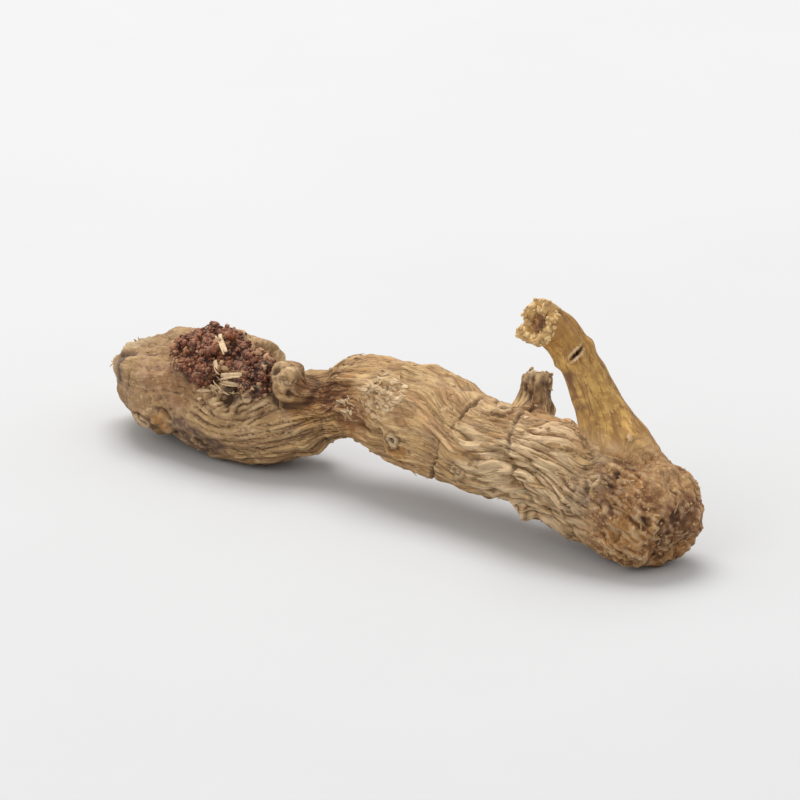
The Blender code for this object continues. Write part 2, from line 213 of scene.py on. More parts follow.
def round_and_along(turn, along, rounds, length, seed):
    """Places for noise that is drawn out along the root: narrow round it and long along it."""
    return np.stack((rounds * np.cos(turn), rounds * np.sin(turn), along / length + seed), axis=1)


def neighbours_mean(values, pairs, times):
    """Values at the skin's points, each evened out with its neighbours."""
    count = np.bincount(pairs.ravel(), minlength=len(values))[:, None]
    for _ in range(times):
        total = np.stack([
            np.bincount(pairs[:, 0], weights=column[pairs[:, 1]], minlength=len(values))
            + np.bincount(pairs[:, 1], weights=column[pairs[:, 0]], minlength=len(values))
            for column in values.T
        ], axis=1)
        values = 0.5 * values + 0.5 * total / count
    return values


def spot(middle, radius, longer=1.0, run=(1.0, 0.0, 0.0)):
    """1 in a spot of the skin with an uneven edge and 0 outside it; it may be longer along one way."""
    middle, run = np.array(middle), np.array(run)
    offset = points - middle
    offset -= (offset @ run * (1 - 1 / longer))[:, None] * run
    uneven = 0.45 * radius * noise_at(points + middle, 0.45 * radius + 0.3)
    return 1 - blend(0.45 * radius, radius, np.linalg.norm(offset, axis=1) + uneven)


def flecked(low, high, size, seed=0):
    """Flecks of about one size on the skin, from 0 to 1; the closer low and high, the sharper."""
    return blend(low, high, noise_at(points + seed, size))


def ring(distance, radius, width):
    """1 at one distance from a place, and 0 well off it."""
    return np.exp(-(((distance - radius) / width) ** 2))


def points_of(mesh, kind="co"):
    """The mesh's points, or their normals, as rows; points are in millimetres."""
    flat = np.zeros(len(mesh.vertices) * 3)
    if kind == "normal":
        mesh.vertex_normals.foreach_get("vector", flat)
        return flat.reshape(-1, 3)
    mesh.vertices.foreach_get(kind, flat)
    return flat.reshape(-1, 3) / MM


def set_points(mesh, places):
    mesh.vertices.foreach_set("co", (places * MM).ravel())
    mesh.update()


def mark(mesh, name, values):
    """Keeps one number, or one vector, for each point, which the material reads by its name."""
    kind, field = ("FLOAT", "value") if values.ndim == 1 else ("FLOAT_VECTOR", "vector")
    mesh.attributes.new(name, kind, "POINT").data.foreach_set(field, values.astype(np.float32).ravel())


def settled(made):
    """Makes an object's modifiers part of its mesh."""
    graph = bpy.context.evaluated_depsgraph_get()
    made.data = bpy.data.meshes.new_from_object(made.evaluated_get(graph))
    made.modifiers.clear()


def remeshed_copy(node):
    """A new object with the node's form in small even faces."""
    solid = bmesh.new()
    solid.from_mesh(node.data)
    bmesh.ops.remove_doubles(solid, verts=solid.verts, dist=1e-7)
    mesh = bpy.data.meshes.new("rhizome_skin")
    solid.to_mesh(mesh)
    solid.free()
    made = bpy.data.objects.new("rhizome_skin", mesh)
    bpy.context.scene.collection.objects.link(made)
    even = made.modifiers.new("even faces", "REMESH")
    even.mode = "VOXEL"
    even.voxel_size = SKIN_STEP
    settled(made)
    made.data.shade_smooth()
    return made


skin = remeshed_copy(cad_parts["rhizome"])
pairs = np.zeros(len(skin.data.edges) * 2, dtype=np.int64)
skin.data.edges.foreach_get("vertices", pairs)
pairs = pairs.reshape(-1, 2)
points = points_of(skin.data)
for _ in range(6):      # softens the solid's facets and keeps its bulk
    points = neighbours_mean(points, pairs, 1)
    points += 0.9 * (points - neighbours_mean(points, pairs, 1))
set_points(skin.data, points)
outward = points_of(skin.data, "normal")

x, y, z = points.T
side, height, half_width, half_height = root_line_at(x)
turn = np.arctan2((z - height) / half_height, (y - side) / half_width)
reach = np.hypot((z - height) / half_height, (y - side) / half_width)
rise, shoot_reach, shoot_turn, shoot_length = beside_shoot(points)
wander = 0.45 * noise_at(np.stack((x / 9, np.sin(turn), np.cos(turn)), axis=1))

# which part of the root each point belongs to, from 0 to 1; the knob is the small pale dried bud beside the
# scar, and the bud is the stub of a second shoot
share = (x - OLD_END[0]) / ROOT_LENGTH
ragged = noise_at(points, 1.8)
on_shoot = blend(1.10, 1.45, reach) * (x > 20) * (x < 36) * (shoot_reach < 1.9) * (z > 8.5)
on_bud = blend(1.10, 1.30, reach) * (x > 11.5) * (x < 20) * (z > 9.5) * (y > -2)
on_joint = 1 - blend(0.30, 0.40, share)
on_end = blend(0.865, 0.925, share + 0.020 * ragged - 0.02 * np.sin(turn)) * (1 - on_shoot)
broken_end = 1 - blend(0.015, 0.060, share + 0.01 * ragged)
crust = np.zeros(len(points))
for lobe_share, lobe_turn, radius, slope in CRUST_LOBES:
    middle, upward = skin_place(lobe_share, lobe_turn)
    distance = np.linalg.norm(points - middle - 1.2 * upward, axis=1) + 0.7 * noise_at(points, 1.1)
    crust = np.maximum(crust, 1 - blend(radius * (1 - slope), radius, distance))
knob_foot = skin_place(0.350, 130)[0]
knob = spot(knob_foot + (-0.5, -0.6, 0.8), 2.3)
cleft = spot(CLEFT, 2.0, 1.15)
crust *= (1 - knob) * (1 - cleft)
# the hump, which is smoother
calm = blend(0.40, 0.47, share) * (1 - blend(0.62, 0.80, share)) * (1 - 0.4 * flecked(-0.2, 0.3, 4.0))

# relief of each part, in millimetres
plate_places = round_and_along(turn + wander, x, 6.0, 3.2, 4.0) + 0.22 * ragged[:, None]
plates, plate_height = plates_at(plate_places, 0.30)
long_folds = folds_at(round_and_along(turn + wander, x, 3.4, 13.0, 2.0))
short_folds = folds_at(round_and_along(turn + wander, x, 8.0, 6.5, 8.0))
stretch_relief = (
    0.40 * (long_folds - 0.5) + 0.22 * (short_folds - 0.5) + 0.13 * (plates - 0.8) + 0.10 * plate_height
) * (1 - 0.50 * calm)
deep = spot((22.0, -4.6, 7.4), 8.0, 1.5)      # longest, deepest furrows, towards the viewer
straws = folds_at(round_and_along(turn + wander, x, 5.6, 5.5, 12.0), 1.0, 3.2)
stretch_relief += deep * (0.38 * (straws - 0.6) - 0.02)
joint_folds = folds_at(round_and_along(turn + 0.045 * x + wander, x, 2.6, 17.0, 5.0))
joint_relief = (
    0.34 * (joint_folds - 0.5) + 0.14 * (short_folds - 0.5) + 0.12 * noise_at(points, 1.6)
    + 0.12 * noise_at(points, 0.7)
)
lined = spot((-14.5, -4.2, 3.6), 8.0)      # deep lines low on the joint, towards the neck
joint_relief = joint_relief * (1 - lined) + stretch_relief * lined * 1.1
tip = blend(31.5, 35.5, x)
shoulder = spot((36.0, 0.6, 9.8), 4.5)      # smoother, above the growing end
crumbly = (1 - 0.75 * shoulder) * flecked(-0.35, 0.15, 2.6, 5)
grooved = blend(6.5, 3.5, z + ragged)      # close furrows low on the growing end
end_along = (points @ END_RUN)[:, None] * END_RUN
end_ridges = noise_at((points - end_along) / 0.5 + end_along / 1.4)
end_relief = (
    0.30 * (1 - tip) * (folds_at(round_and_along(turn + wander, x, 3.0, 6.0, 6.0)) - 0.5)
    + 0.20 * tip * (folds_at(points, 3.6) - 0.5)
    + (0.07 + 0.05 * crumbly + 0.10 * grooved) * (folds_at(points + 9 + 0.5 * ragged[:, None], 1.1) - 0.5)
    + 0.12 * crumbly * noise_at(points, 0.8) + 0.26 * crumbly * end_ridges + 0.10 * noise_at(points, 0.5)
)
crust_relief = 0.34 * noise_at(points, 1.2) + 0.24 * noise_at(points, 0.55)
shoot_relief = (
    0.30 * (folds_at(round_and_along(shoot_turn, rise, 1.9, 16.0, 3.0)) - 0.5)
    + 0.09 * noise_at(round_and_along(shoot_turn, rise, 5.0, 2.0, 6.0)) + 0.10 * noise_at(points + 8, 1.7)
    + 0.30 * noise_at(points, 0.6) * blend(shoot_length - 1.3, shoot_length, rise)
)
bud_foot = skin_place(0.705, 62)[0]
bud_turn = np.arctan2(y - bud_foot[1], x - bud_foot[0] + 0.2 * (z - bud_foot[2]))
bud_relief = (
    0.55 * (folds_at(round_and_along(bud_turn, z, 2.2, 3.5, 1.0)) - 0.5)
    + (0.30 * noise_at(points, 0.8) + 0.30 * noise_at(points, 1.3)) * blend(12, 15, z)
)
knob_relief = 0.05 + 0.20 * noise_at(points, 1.1) + 0.14 * noise_at(points, 0.6)
relief = stretch_relief
for part, own in (
    (on_joint, joint_relief), (on_end, end_relief), (crust, crust_relief), (knob, knob_relief),
    (on_shoot, shoot_relief), (on_bud, bud_relief),
):
    relief = relief * (1 - part) + own * part
relief += broken_end * (0.35 * noise_at(points, 1.0) + 0.20 * noise_at(points, 0.5))

# node lines: an uneven groove across the furrows
node_gap = np.zeros(len(points))
for line_share, slant, depth in NODE_LINES:
    place = OLD_END[0] + line_share * ROOT_LENGTH + slant * ROOT_GIRTH * np.sin(turn)
    offset = np.abs(x - place + 0.5 * ragged) / 0.40
    broken = flecked(-0.45, 0.05, 2.2, 40)
    across = np.maximum(0, 1 - offset**2) * broken * (1 - on_shoot) * (1 - crust)
    relief -= depth * across
    node_gap = np.maximum(node_gap, across * depth / 0.36)

# gaps by the scar and low on the joint, and the torn strands below the open cleft
gap = np.zeros(len(points))
for *place, radius in GAPS:
    run = (0.98, 0.0, -0.20) if place[2] < 4 else TORN_RUN
    gap = np.maximum(gap, spot(place, radius, 3.2, run))
for *place, radius in PITS:
    gap = np.maximum(gap, 0.8 * spot(place, radius, 1.6, END_RUN))
torn = spot((-16.7, -6.2, 7.9), 2.7, 2.0, (0.97, 0.22, 0.05)) * (1 - crust)
along_strands = (points @ TORN_RUN)[:, None] * TORN_RUN
strands = folds_at((points - along_strands) / 0.64 + along_strands / 3.2, 1.0, 2.8)
relief += 0.38 * torn * (strands - 0.65)
dent = spot(OLD_DENT, 1.9)
relief -= 0.45 * gap + 0.40 * dent + 0.45 * cleft
for *place, radius, depth in HOLLOWS:
    relief -= depth * spot(place, radius)

# a groove round the foot of the knob, and one round the healed lump
knob_middle = knob_foot + (0, -0.6, 0.8)
knob_rim = ring(np.linalg.norm(points - knob_middle, axis=1), 2.6, 0.35) * (1 - on_shoot)
lump_rim = ring(np.linalg.norm(points - HEALED_LUMP, axis=1), 1.7, 0.26) * blend(-0.35, 0.05, ragged)
relief -= 0.30 * knob_rim + 0.22 * lump_rim

# root scars: a round rim with a pitted middle, where a thin root broke off
scar = np.zeros(len(points))
pit = np.zeros(len(points))
for scar_share, degrees in ROOT_SCARS:
    middle, direction = skin_place(scar_share, degrees)
    offset = points - middle
    offset -= (offset @ direction)[:, None] * direction
    distance = np.linalg.norm(offset, axis=1) + 0.14 * ragged + 0.22 * noise_at(points, 0.6)
    near = (outward @ direction > 0.2) * (np.linalg.norm(points - middle, axis=1) < 2.5)
    clear = near * (1.0 if scar_share < 0.6 else 0.65)      # one scar is cleaner than the rest
    scar = np.maximum(scar, clear * (1 - blend(0.60, 0.85, distance)))
    pit = np.maximum(pit, clear * ring(distance, 0.28, 0.13))
    pit = np.maximum(pit, 0.6 * clear * ring(distance, 0.95, 0.16))
    relief += clear * (0.17 * ring(distance, 0.58, 0.20) - 0.14 * ring(distance, 0.28, 0.14))

# the slit under the shoot's node, with pale lips
slit_rise, _, slit_turn, _ = beside_shoot(np.array(((25.9, -2.4, 21.0),)))
slit_across = ((shoot_turn - slit_turn + math.pi) % (2 * math.pi) - math.pi) * 2.0
slit = np.hypot((rise - slit_rise - 0.25 * slit_across) / 0.17, slit_across / 0.85)
lip = np.hypot((np.abs(rise - slit_rise - 0.25 * slit_across) - 0.40) / 0.19, slit_across / 1.05)
lip = (1 - blend(0.5, 1.2, lip)) * on_shoot
relief += 0.12 * lip - 0.55 * (1 - blend(0.5, 1.3, slit)) * on_shoot

relief *= blend(0.0, 0.7, z)
points = points + outward * relief[:, None]
bud_top = on_bud * blend(12.5, 15.5, z)      # the bud stub ends in a ragged point
points += (bud_top * (1.1 + 0.5 * noise_at(points + 2, 1.2)))[:, None] * (0.25, 0.25, 1.0)
points[:, 2] = np.maximum(points[:, 2], 0)
# the old end's hollow is full of pith
old_hollow = broken_end * (1 - blend(0.60, 0.85, reach))
sunk_in = np.clip(points[:, 0] + 37.7 - 0.5 * noise_at(points, 0.7), 0, 5)
points[:, 0] -= 0.95 * sunk_in * old_hollow
set_points(skin.data, points)
outward = points_of(skin.data, "normal")

# how far each point stands out of its surroundings, near and wide: 1 on a crest, -1 in a furrow. From these
# the skin's material paints shade into the furrows and a partly painted highlight onto the crests.
crest = np.sum((points - neighbours_mean(points, pairs, 3)) * outward, axis=1)
swell = np.sum((points - neighbours_mean(points, pairs, 30)) * outward, axis=1)

# where each finish of the skin lies, from 0 to 1: the greatest of its parts at each point
rim_top = 1.3 * blend(24.4, 25.6, z) * on_shoot      # the torn rim reaches further back on top
in_cut = (rise > shoot_length - 2.2 - rim_top) * on_shoot
core = in_cut * (1 - blend(0.34, 0.62, shoot_reach + 0.10 * ragged))
torn_rim = blend(0.3, 0.9, (rise - shoot_length + 1.3 + rim_top + 0.5 * ragged) / 1.3)
over_foot = z - height - half_height * 0.94 + 0.9 * ragged
specked = 0.35 + 0.65 * flecked(-0.15, 0.25, 0.6, 20)
finishes = {
    "crest": [np.clip(crest / 0.07, -1, 1)],
    "swell": [np.clip(swell / 0.30, -1, 1)],
    "shoot": [on_shoot * blend(0.3, 3.2, over_foot)],
    "joint": [on_joint],
    "growing_end": [on_end * (1 - 0.60 * shoulder)],
    "crust": [crust],
    "knob": [knob],
    "bud": [on_bud],
    "cut": [in_cut * torn_rim],
    "core": [core],
    # darker on faces that point down: painted shade on the underside
    "under": [blend(-0.10, -0.85, outward[:, 2])],
    # darker towards the old broken end: painted shadow
    "old": [blend(-27.0, -34.0, x + 1.5 * ragged)],
    "calm": [0.5 * calm, 0.9 * knob, blend(0.02, 0.5, on_shoot), 0.4 * shoulder, 0.12 * deep],
    # Darker in the skin's hollows, as painted shade: the pits and gaps, the root scars' pits, the shoot's
    # slit, the grooves round the knob and the healed lump, the node grooves, between the torn strands, in the
    # growing end's furrows, in the cleft's hollows and in the dent. The rest are the skin's own dark cracks,
    # flecks and bruise.
    "dark": [
        0.60 * core * flecked(-0.25, 0.15, 0.6),      # cracks in the pith of the cut end
        0.50 * in_cut * (1 - core) * flecked(0.08, 0.32, 0.6, 4),
        pit,
        0.85 * gap,
        (1 - blend(0.9, 1.6, slit)) * on_shoot,
        0.40 * old_hollow * flecked(-0.10, 0.30, 0.6, 11),
        0.55 * knob_rim,
        0.50 * lump_rim,
        0.42 * on_end * (1 - 0.8 * shoulder) * blend(0.10, 0.40, -end_ridges),
        0.55 * node_gap,
        0.85 * torn * (1 - blend(0.08, 0.32, strands)),
        0.70 * on_bud * blend(12.6, 13.8, z) * flecked(0.08, 0.35, 0.7, 3),
        0.80 * cleft * (1 - blend(0.3, 0.9, crest / 0.07)),
        0.45 * dent * blend(-0.2, 0.3, ragged),
        0.60 * spot((-22.2, -6.1, 2.2), 2.6, 1.5) * flecked(0.0, 0.3, 0.8, 6),      # bruise
        0.55 * spot(RUBBED_PATCH, 3.0, 1.3) * flecked(0.15, 0.40, 0.5, 12),
    ],
    "pale": [
        0.80 * scar,
        0.85 * lip,
        0.90 * spot(RUBBED_PATCH, 3.0, 1.3) * flecked(-0.05, 0.25, 0.5),
        0.60 * spot((-3.7, -3.3, 9.1), 1.8, 1.4) * flecked(0.0, 0.3, 0.6),      # neck
        0.45 * cleft * blend(0.2, 0.7, crest / 0.07),
        0.70 * broken_end * (1 - old_hollow),
        0.50 * on_bud * blend(14.2, 15.2, z + 1.2 * ragged),
        0.75 * deep * blend(0.30, 0.80, straws) * (1 - on_end),
        0.50 * torn * blend(0.55, 0.90, strands),
        0.50 * spot((30.5, -5.4, 8.2), 2.8) * flecked(0.2, 0.4, 0.55),      # growing end
        0.46 * on_end * (1 - shoulder) * blend(0.10, 0.40, end_ridges),
    ],
    "purple": [
        1.00 * spot((-22.0, -6.2, 2.4), 3.5, 1.5) * (0.5 + 0.5 * specked),      # bruise low on the joint
        0.60 * spot((30.5, -5.4, 8.0), 4.2) * specked,      # growing end, under the shoot
        0.90 * spot((30.2, -5.5, 8.5), 1.7) * specked,
        0.25 * spot((38.2, 0.0, 5.6), 3.6) * specked,      # its tip
        0.50 * spot((-14.0, 4.0, 4.0), 3.6),      # back of the joint
        0.50 * spot((12.0, 3.5, 4.5), 3.6, 1.6),      # back of the stretch
        0.85 * spot(OLD_DENT, 2.4),
        0.50 * on_bud * blend(12.5, 14.5, z - 0.8 * ragged),
        0.90 * crust * blend(-19.5, -16.5, x + ragged),
        0.50 * cleft,
        0.60 * broken_end,
    ],
    "orange": [
        0.9 * spot((34.3, -5.3, 4.3), 3.1),      # low on the growing end
        0.9 * spot((3.6, -4.5, 6.0), 1.6, 1.5),      # under the hump
        0.9 * spot(HEALED_LUMP, 1.7),
        0.75 * spot((-6.0, -2.6, 8.8), 4.6, 1.7) * (1 - knob),      # neck
        0.5 * spot((22.0, 4.2, 5.0), 3.0, 1.6),      # back of the stretch
        0.8 * blend(shoot_length - 5.5, shoot_length - 3.0, rise + ragged) * on_shoot,      # behind the cut
    ],
    "red": [
        1.00 * spot((-7.4, -2.9, 10.0), 2.7, 2.2),      # neck
        0.80 * spot((-3.6, -3.4, 8.6), 2.6, 1.7),
        0.55 * spot((3.7, -4.2, 9.7), 0.6, 5.0, (0.98, 0.0, -0.20)),      # streak along the hump
        0.40 * spot((-2.0, 3.5, 10.0), 1.8, 2.4),      # back of the neck
        0.30 * spot(skin_place(0.170, 128)[0], 6.0) * (1 - crust),      # round the crust
        0.72 * spot((-24.0, -5.6, 8.4), 3.9) * (1 - crust) * (0.40 + 0.60 * flecked(-0.10, 0.25, 0.5, 15)),
        0.45 * spot((33.6, -3.4, 8.6), 3.6) * flecked(-0.1, 0.3, 0.9),
        0.85 * spot((38.2, 0.0, 5.8), 3.8),      # tip of the growing end
        # one side of the shoot, low down, darker and redder: painted shade
        0.45 * blend(0.1, 0.7, np.cos(shoot_turn - 3.3)) * on_shoot * (1 - blend(9.5, 13.0, rise)),
        0.90 * spot((25.2, -2.8, 17.9), 1.5),      # on the shoot
        0.90 * spot((26.0, -2.5, 15.6), 1.4),
    ],
}
for name, parts in finishes.items():
    mark(skin.data, name, np.maximum.reduce(parts))
grain_turn = np.where(on_shoot > 0.5, shoot_turn, turn + wander)
grain_radius = np.where(on_shoot > 0.5, 2.0, 5.0) * (1 - 0.6 * tip)
grain = np.stack((
    grain_radius * np.cos(grain_turn) + y * tip,
    grain_radius * np.sin(grain_turn) + z * tip,
    np.where(on_shoot > 0.5, rise + 60, x + 6 * tip * (x - 31.5)),
), axis=1)
mark(skin.data, "grain", grain)
fewer = skin.modifiers.new("fewer faces", "DECIMATE")
fewer.ratio = FACES_KEPT
settled(skin)


def put(tree, kind, sockets=None, **settings):
    """Puts a node in a material. Sockets take a value or another node's output."""
    made = tree.nodes.new("ShaderNode" + kind)
    for name, value in settings.items():
        setattr(made, name, value)
    for key, value in (sockets or {}).items():
        if isinstance(value, bpy.types.NodeSocket):
            tree.links.new(value, made.inputs[key])
        else:
            made.inputs[key].default_value = value
    return made


def mixed(tree, amount, under, over):
    """The tone over laid on the tone under by an amount. A tone is red, green and blue, or a socket."""
    under, over = ((*tone, 1.0) if isinstance(tone, tuple) else tone for tone in (under, over))
    return put(tree, "Mix", {0: amount, 6: under, 7: over}, data_type="RGBA").outputs[2]


def sloped(tree, value, low, high, to_low=0.0, to_high=1.0):
    """A value brought to 0 at low and 1 at high, or to two other values."""
    sockets = {"Value": value, 1: low, 2: high, 3: to_low, 4: to_high}
    return put(tree, "MapRange", sockets, interpolation_type="SMOOTHSTEP").outputs[0]


def reckoned(tree, how, first, second=0.0, third=0.0):
    return put(tree, "Math", {0: first, 1: second, 2: third}, operation=how).outputs[0]


def times(tree, first, second):
    return reckoned(tree, "MULTIPLY", first, second)


def layered(tree, under, *layers):
    """Lays tones on the tone under in turn: each a mask or a mark's name, its share, and the tone."""
    for mask, share, over in layers:
        if isinstance(mask, str):
            mask = marked(tree, mask)
        under = mixed(tree, times(tree, mask, share), under, over)
    return under


def marked(tree, name, what="Fac"):
    return put(tree, "Attribute", attribute_name=name).outputs[what]


def place_in_mm(tree):
    where = put(tree, "TexCoord").outputs["Object"]
    return put(tree, "VectorMath", {0: where, "Scale": 1 / MM}, operation="SCALE").outputs[0]


def new_group(name, sockets_in, sockets_out):
    """A shader group with named sockets, and its two ends."""
    group = bpy.data.node_groups.new(name, "ShaderNodeTree")
    for label, kind, value in sockets_in:
        socket = group.interface.new_socket(label, in_out="INPUT", socket_type="NodeSocket" + kind)
        if value is not None:
            socket.default_value = value
    for label, kind in sockets_out:
        group.interface.new_socket(label, in_out="OUTPUT", socket_type="NodeSocket" + kind)
    return group, group.nodes.new("NodeGroupInput"), group.nodes.new("NodeGroupOutput")


def grouped(tree, group, output, **sockets):
    """One output of a group that is placed in a material with its own values."""
    return put(tree, "Group", sockets, node_tree=group).outputs[output]


def new_material(name, roughness, specular):
    material = bpy.data.materials.new(name)
    material.use_nodes = True
    shader = material.node_tree.nodes["Principled BSDF"]
    shader.inputs["Roughness"].default_value = roughness
    shader.inputs["Specular IOR Level"].default_value = specular
    return material, material.node_tree


def finished(tree, base, roughness, height, depth):
    """Links a material's colour, roughness and relief; the relief's depth is in millimetres."""
    shader = tree.nodes["Principled BSDF"]
    tree.links.new(base, shader.inputs["Base Color"])
    tree.links.new(roughness, shader.inputs["Roughness"])
    bump = put(tree, "Bump", {"Height": height, "Distance": depth * MM, "Strength": 1.0})
    tree.links.new(bump.outputs[0], shader.inputs["Normal"])


def cloudy(group, start, detail, roughness=0.5):
    """Cloudy noise at a group's Place, with lumps of its Size, and how close they stand."""
    closeness = reckoned(group, "DIVIDE", 1.0, start.outputs["Size"])
    sockets = {"Vector": start.outputs["Place"], "Scale": closeness, "Detail": detail, "Roughness": roughness}
    return put(group, "TexNoise", sockets), closeness


# patches of uneven tone, as dried plant skin has: 0 in one tone and 1 in the other
patches, start, end = new_group(
    "patches",
    (("Place", "Vector", None), ("Size", "Float", 1.0), ("Detail", "Float", 4.0),
     ("Low", "Float", 0.4), ("High", "Float", 0.6)),
    (("Mask", "Float"),),
)
cloud, _ = cloudy(patches, start, start.outputs["Detail"], 0.6)
patch_mask = sloped(patches, cloud.outputs[0], start.outputs["Low"], start.outputs["High"])
patches.links.new(patch_mask, end.inputs["Mask"])

# thin broken lines, as the cracks and fibres of dried bark: 1 on a line
lines, start, end = new_group(
    "thin lines",
    (("Place", "Vector", None), ("Size", "Float", 1.0), ("Width", "Float", 0.04)),
    (("Mask", "Float"),),
)
cloud, _ = cloudy(lines, start, 3.0)
off_line = reckoned(lines, "ABSOLUTE", reckoned(lines, "SUBTRACT", cloud.outputs[0], 0.5))
line_mask = sloped(lines, off_line, 0.0, start.outputs["Width"], 1.0, 0.0)
lines.links.new(line_mask, end.inputs["Mask"])

# little plates of bark, drawn out along the root: their own tone, and the dark gaps between them
bark, start, end = new_group(
    "bark plates",
    (("Place", "Vector", None), ("Size", "Float", 1.0), ("Gap", "Float", 0.06)),
    (("Tone", "Float"), ("Gaps", "Float")),
)
cloud, closeness = cloudy(bark, start, 3.0)
shift = put(bark, "VectorMath", {0: cloud.outputs["Color"], "Scale": 0.45}, operation="SCALE").outputs[0]
moved = put(bark, "VectorMath", {0: start.outputs["Place"], 1: shift}, operation="ADD").outputs[0]
cells = put(bark, "TexVoronoi", {"Vector": moved, "Scale": closeness})
edges = put(bark, "TexVoronoi", {"Vector": moved, "Scale": closeness}, feature="DISTANCE_TO_EDGE")
cell_tone = put(bark, "SeparateColor", {0: cells.outputs["Color"]}).outputs[0]
gaps = sloped(bark, edges.outputs["Distance"], 0.0, start.outputs["Gap"], 1.0, 0.0)
bark.links.new(cell_tone, end.inputs["Tone"])
bark.links.new(gaps, end.inputs["Gaps"])

# fine grit and ridges of dried skin, as a height from 0 to 1
grit, start, end = new_group(
    "grit",
    (("Place", "Vector", None), ("Size", "Float", 0.3), ("Ridges", "Float", 0.5)),
    (("Height", "Float"),),
)
cloud, _ = cloudy(grit, start, 5.0, 0.65)
ridge = reckoned(grit, "ABSOLUTE", reckoned(grit, "SUBTRACT", cloud.outputs[0], 0.5))
ridge = reckoned(grit, "MULTIPLY", ridge, 4.0)
blended = put(grit, "Mix", {0: start.outputs["Ridges"], 2: cloud.outputs[0], 3: ridge}, data_type="FLOAT")
grit.links.new(blended.outputs[0], end.inputs["Height"])

def patched(tree, place, size, low, high, detail=4.0):
    """The patches, placed in a material: their size in millimetres, and where their rim starts and ends."""
    return grouped(tree, patches, "Mask", Place=place, Size=size, Low=low, High=high, Detail=detail)


# Tan outside and pale straw where the skin is torn. The crests are paler, partly in the skin's own worn tone
# and partly as painted highlight, and the furrows are dark brown with painted shade.
skin_finish, tree = new_material("dried_skin", 0.72, 0.35)
place = place_in_mm(tree)
grain = marked(tree, "grain", "Vector")
drawn_out = put(tree, "VectorMath", {0: grain, 1: (1.0, 1.0, 0.12)}, operation="MULTIPLY").outputs[0]
drawn_far = put(tree, "VectorMath", {0: grain, 1: (0.5, 0.5, 0.05)}, operation="MULTIPLY").outputs[0]
off_shoot = reckoned(tree, "SUBTRACT", 1.0, times(tree, marked(tree, "shoot"), 0.75))
shaded = reckoned(tree, "SUBTRACT", 1.0, times(tree, marked(tree, "calm"), 0.70))
on_stretch = 1.0      # what is left of the furrowed stretch's fine cracks
for part, taken in (("joint", 0.70), ("shoot", 0.92), ("growing_end", 0.55), ("calm", 1.0)):
    on_stretch = reckoned(tree, "SUBTRACT", on_stretch, times(tree, marked(tree, part), taken))
on_stretch = reckoned(tree, "MAXIMUM", on_stretch, 0.0)
broad = patched(tree, place, 5.0, 0.42, 0.60)
warm = patched(tree, drawn_far, 1.6, 0.48, 0.62, 3.0)
medium = patched(tree, place, 1.3, 0.44, 0.60)
bands = patched(tree, drawn_far, 0.9, 0.42, 0.60)
fibres = patched(tree, drawn_out, 0.40, 0.42, 0.62)
specks = patched(tree, place, 0.60, 0.54, 0.62)
dots = patched(tree, place, 0.55, 0.58, 0.66, 3.0)
blotches = patched(tree, place, 0.8, 0.44, 0.56, 3.0)
rosy = patched(tree, place, 2.4, 0.50, 0.66, 3.0)
dark_lines = grouped(tree, lines, "Mask", Place=drawn_out, Size=0.62, Width=0.03)
plate_tone = grouped(tree, bark, "Tone", Place=drawn_out, Size=0.42, Gap=0.08)
plate_gaps = grouped(tree, bark, "Gaps", Place=drawn_out, Size=0.42, Gap=0.08)

base = layered(
    tree, mixed(tree, broad, (0.56, 0.345, 0.148), (0.46, 0.272, 0.115)),
    (warm, 0.50, (0.46, 0.240, 0.105)),
    (rosy, 0.40, (0.48, 0.310, 0.200)),
    (sloped(tree, plate_tone, 0.50, 0.95), 0.58, (0.76, 0.53, 0.27)),
    (sloped(tree, plate_tone, 0.35, 0.05), 0.58, (0.29, 0.155, 0.068)),
    (medium, 0.28, (0.34, 0.190, 0.088)),
)
joint_tone = layered(
    tree, mixed(tree, bands, (0.43, 0.265, 0.115), (0.25, 0.140, 0.060)),
    (medium, 0.62, (0.30, 0.170, 0.094)),
    (rosy, 0.70, (0.44, 0.260, 0.165)),
    (specks, 0.75, (0.64, 0.450, 0.250)),
    (dots, 0.70, (0.130, 0.068, 0.038)),
    (fibres, 0.35, (0.54, 0.355, 0.165)),
    # painted shadow over the old end
    ("old", 0.50, (0.20, 0.115, 0.055)),
)
end_tone = layered(
    tree, mixed(tree, medium, (0.45, 0.204, 0.062), (0.23, 0.082, 0.026)),
    (specks, 0.75, (0.74, 0.44, 0.20)),
    (dots, 0.75, (0.090, 0.038, 0.022)),
)
# the skin under the beads: the crust's own dark colour, darker still as painted shade in the gaps between the
# beads
crust_tone = mixed(tree, medium, (0.070, 0.024, 0.015), (0.030, 0.012, 0.009))
crust_tone = mixed(tree, marked(tree, "purple"), crust_tone, (0.028, 0.012, 0.012))
knob_tone = mixed(tree, blotches, (0.40, 0.245, 0.120), (0.17, 0.088, 0.042))
shoot_tone = layered(
    tree, mixed(tree, bands, (0.59, 0.326, 0.080), (0.21, 0.088, 0.020)),
    (broad, 0.50, (0.40, 0.250, 0.068)),
    (fibres, 0.55, (0.69, 0.425, 0.130)),
    (blotches, 0.55, (0.28, 0.124, 0.030)),
    (dark_lines, 0.60, (0.12, 0.050, 0.018)),
    ("orange", 0.7, (0.36, 0.165, 0.034)),
    # the red mark darkens one side of the shoot as painted shade, and adds the shoot's own red spots
    ("red", sloped(tree, medium, 0.0, 1.0, 0.35, 1.0), (0.15, 0.062, 0.025)),
)
purple = times(tree, marked(tree, "purple"), sloped(tree, medium, 0.0, 1.0, 0.65, 1.0))
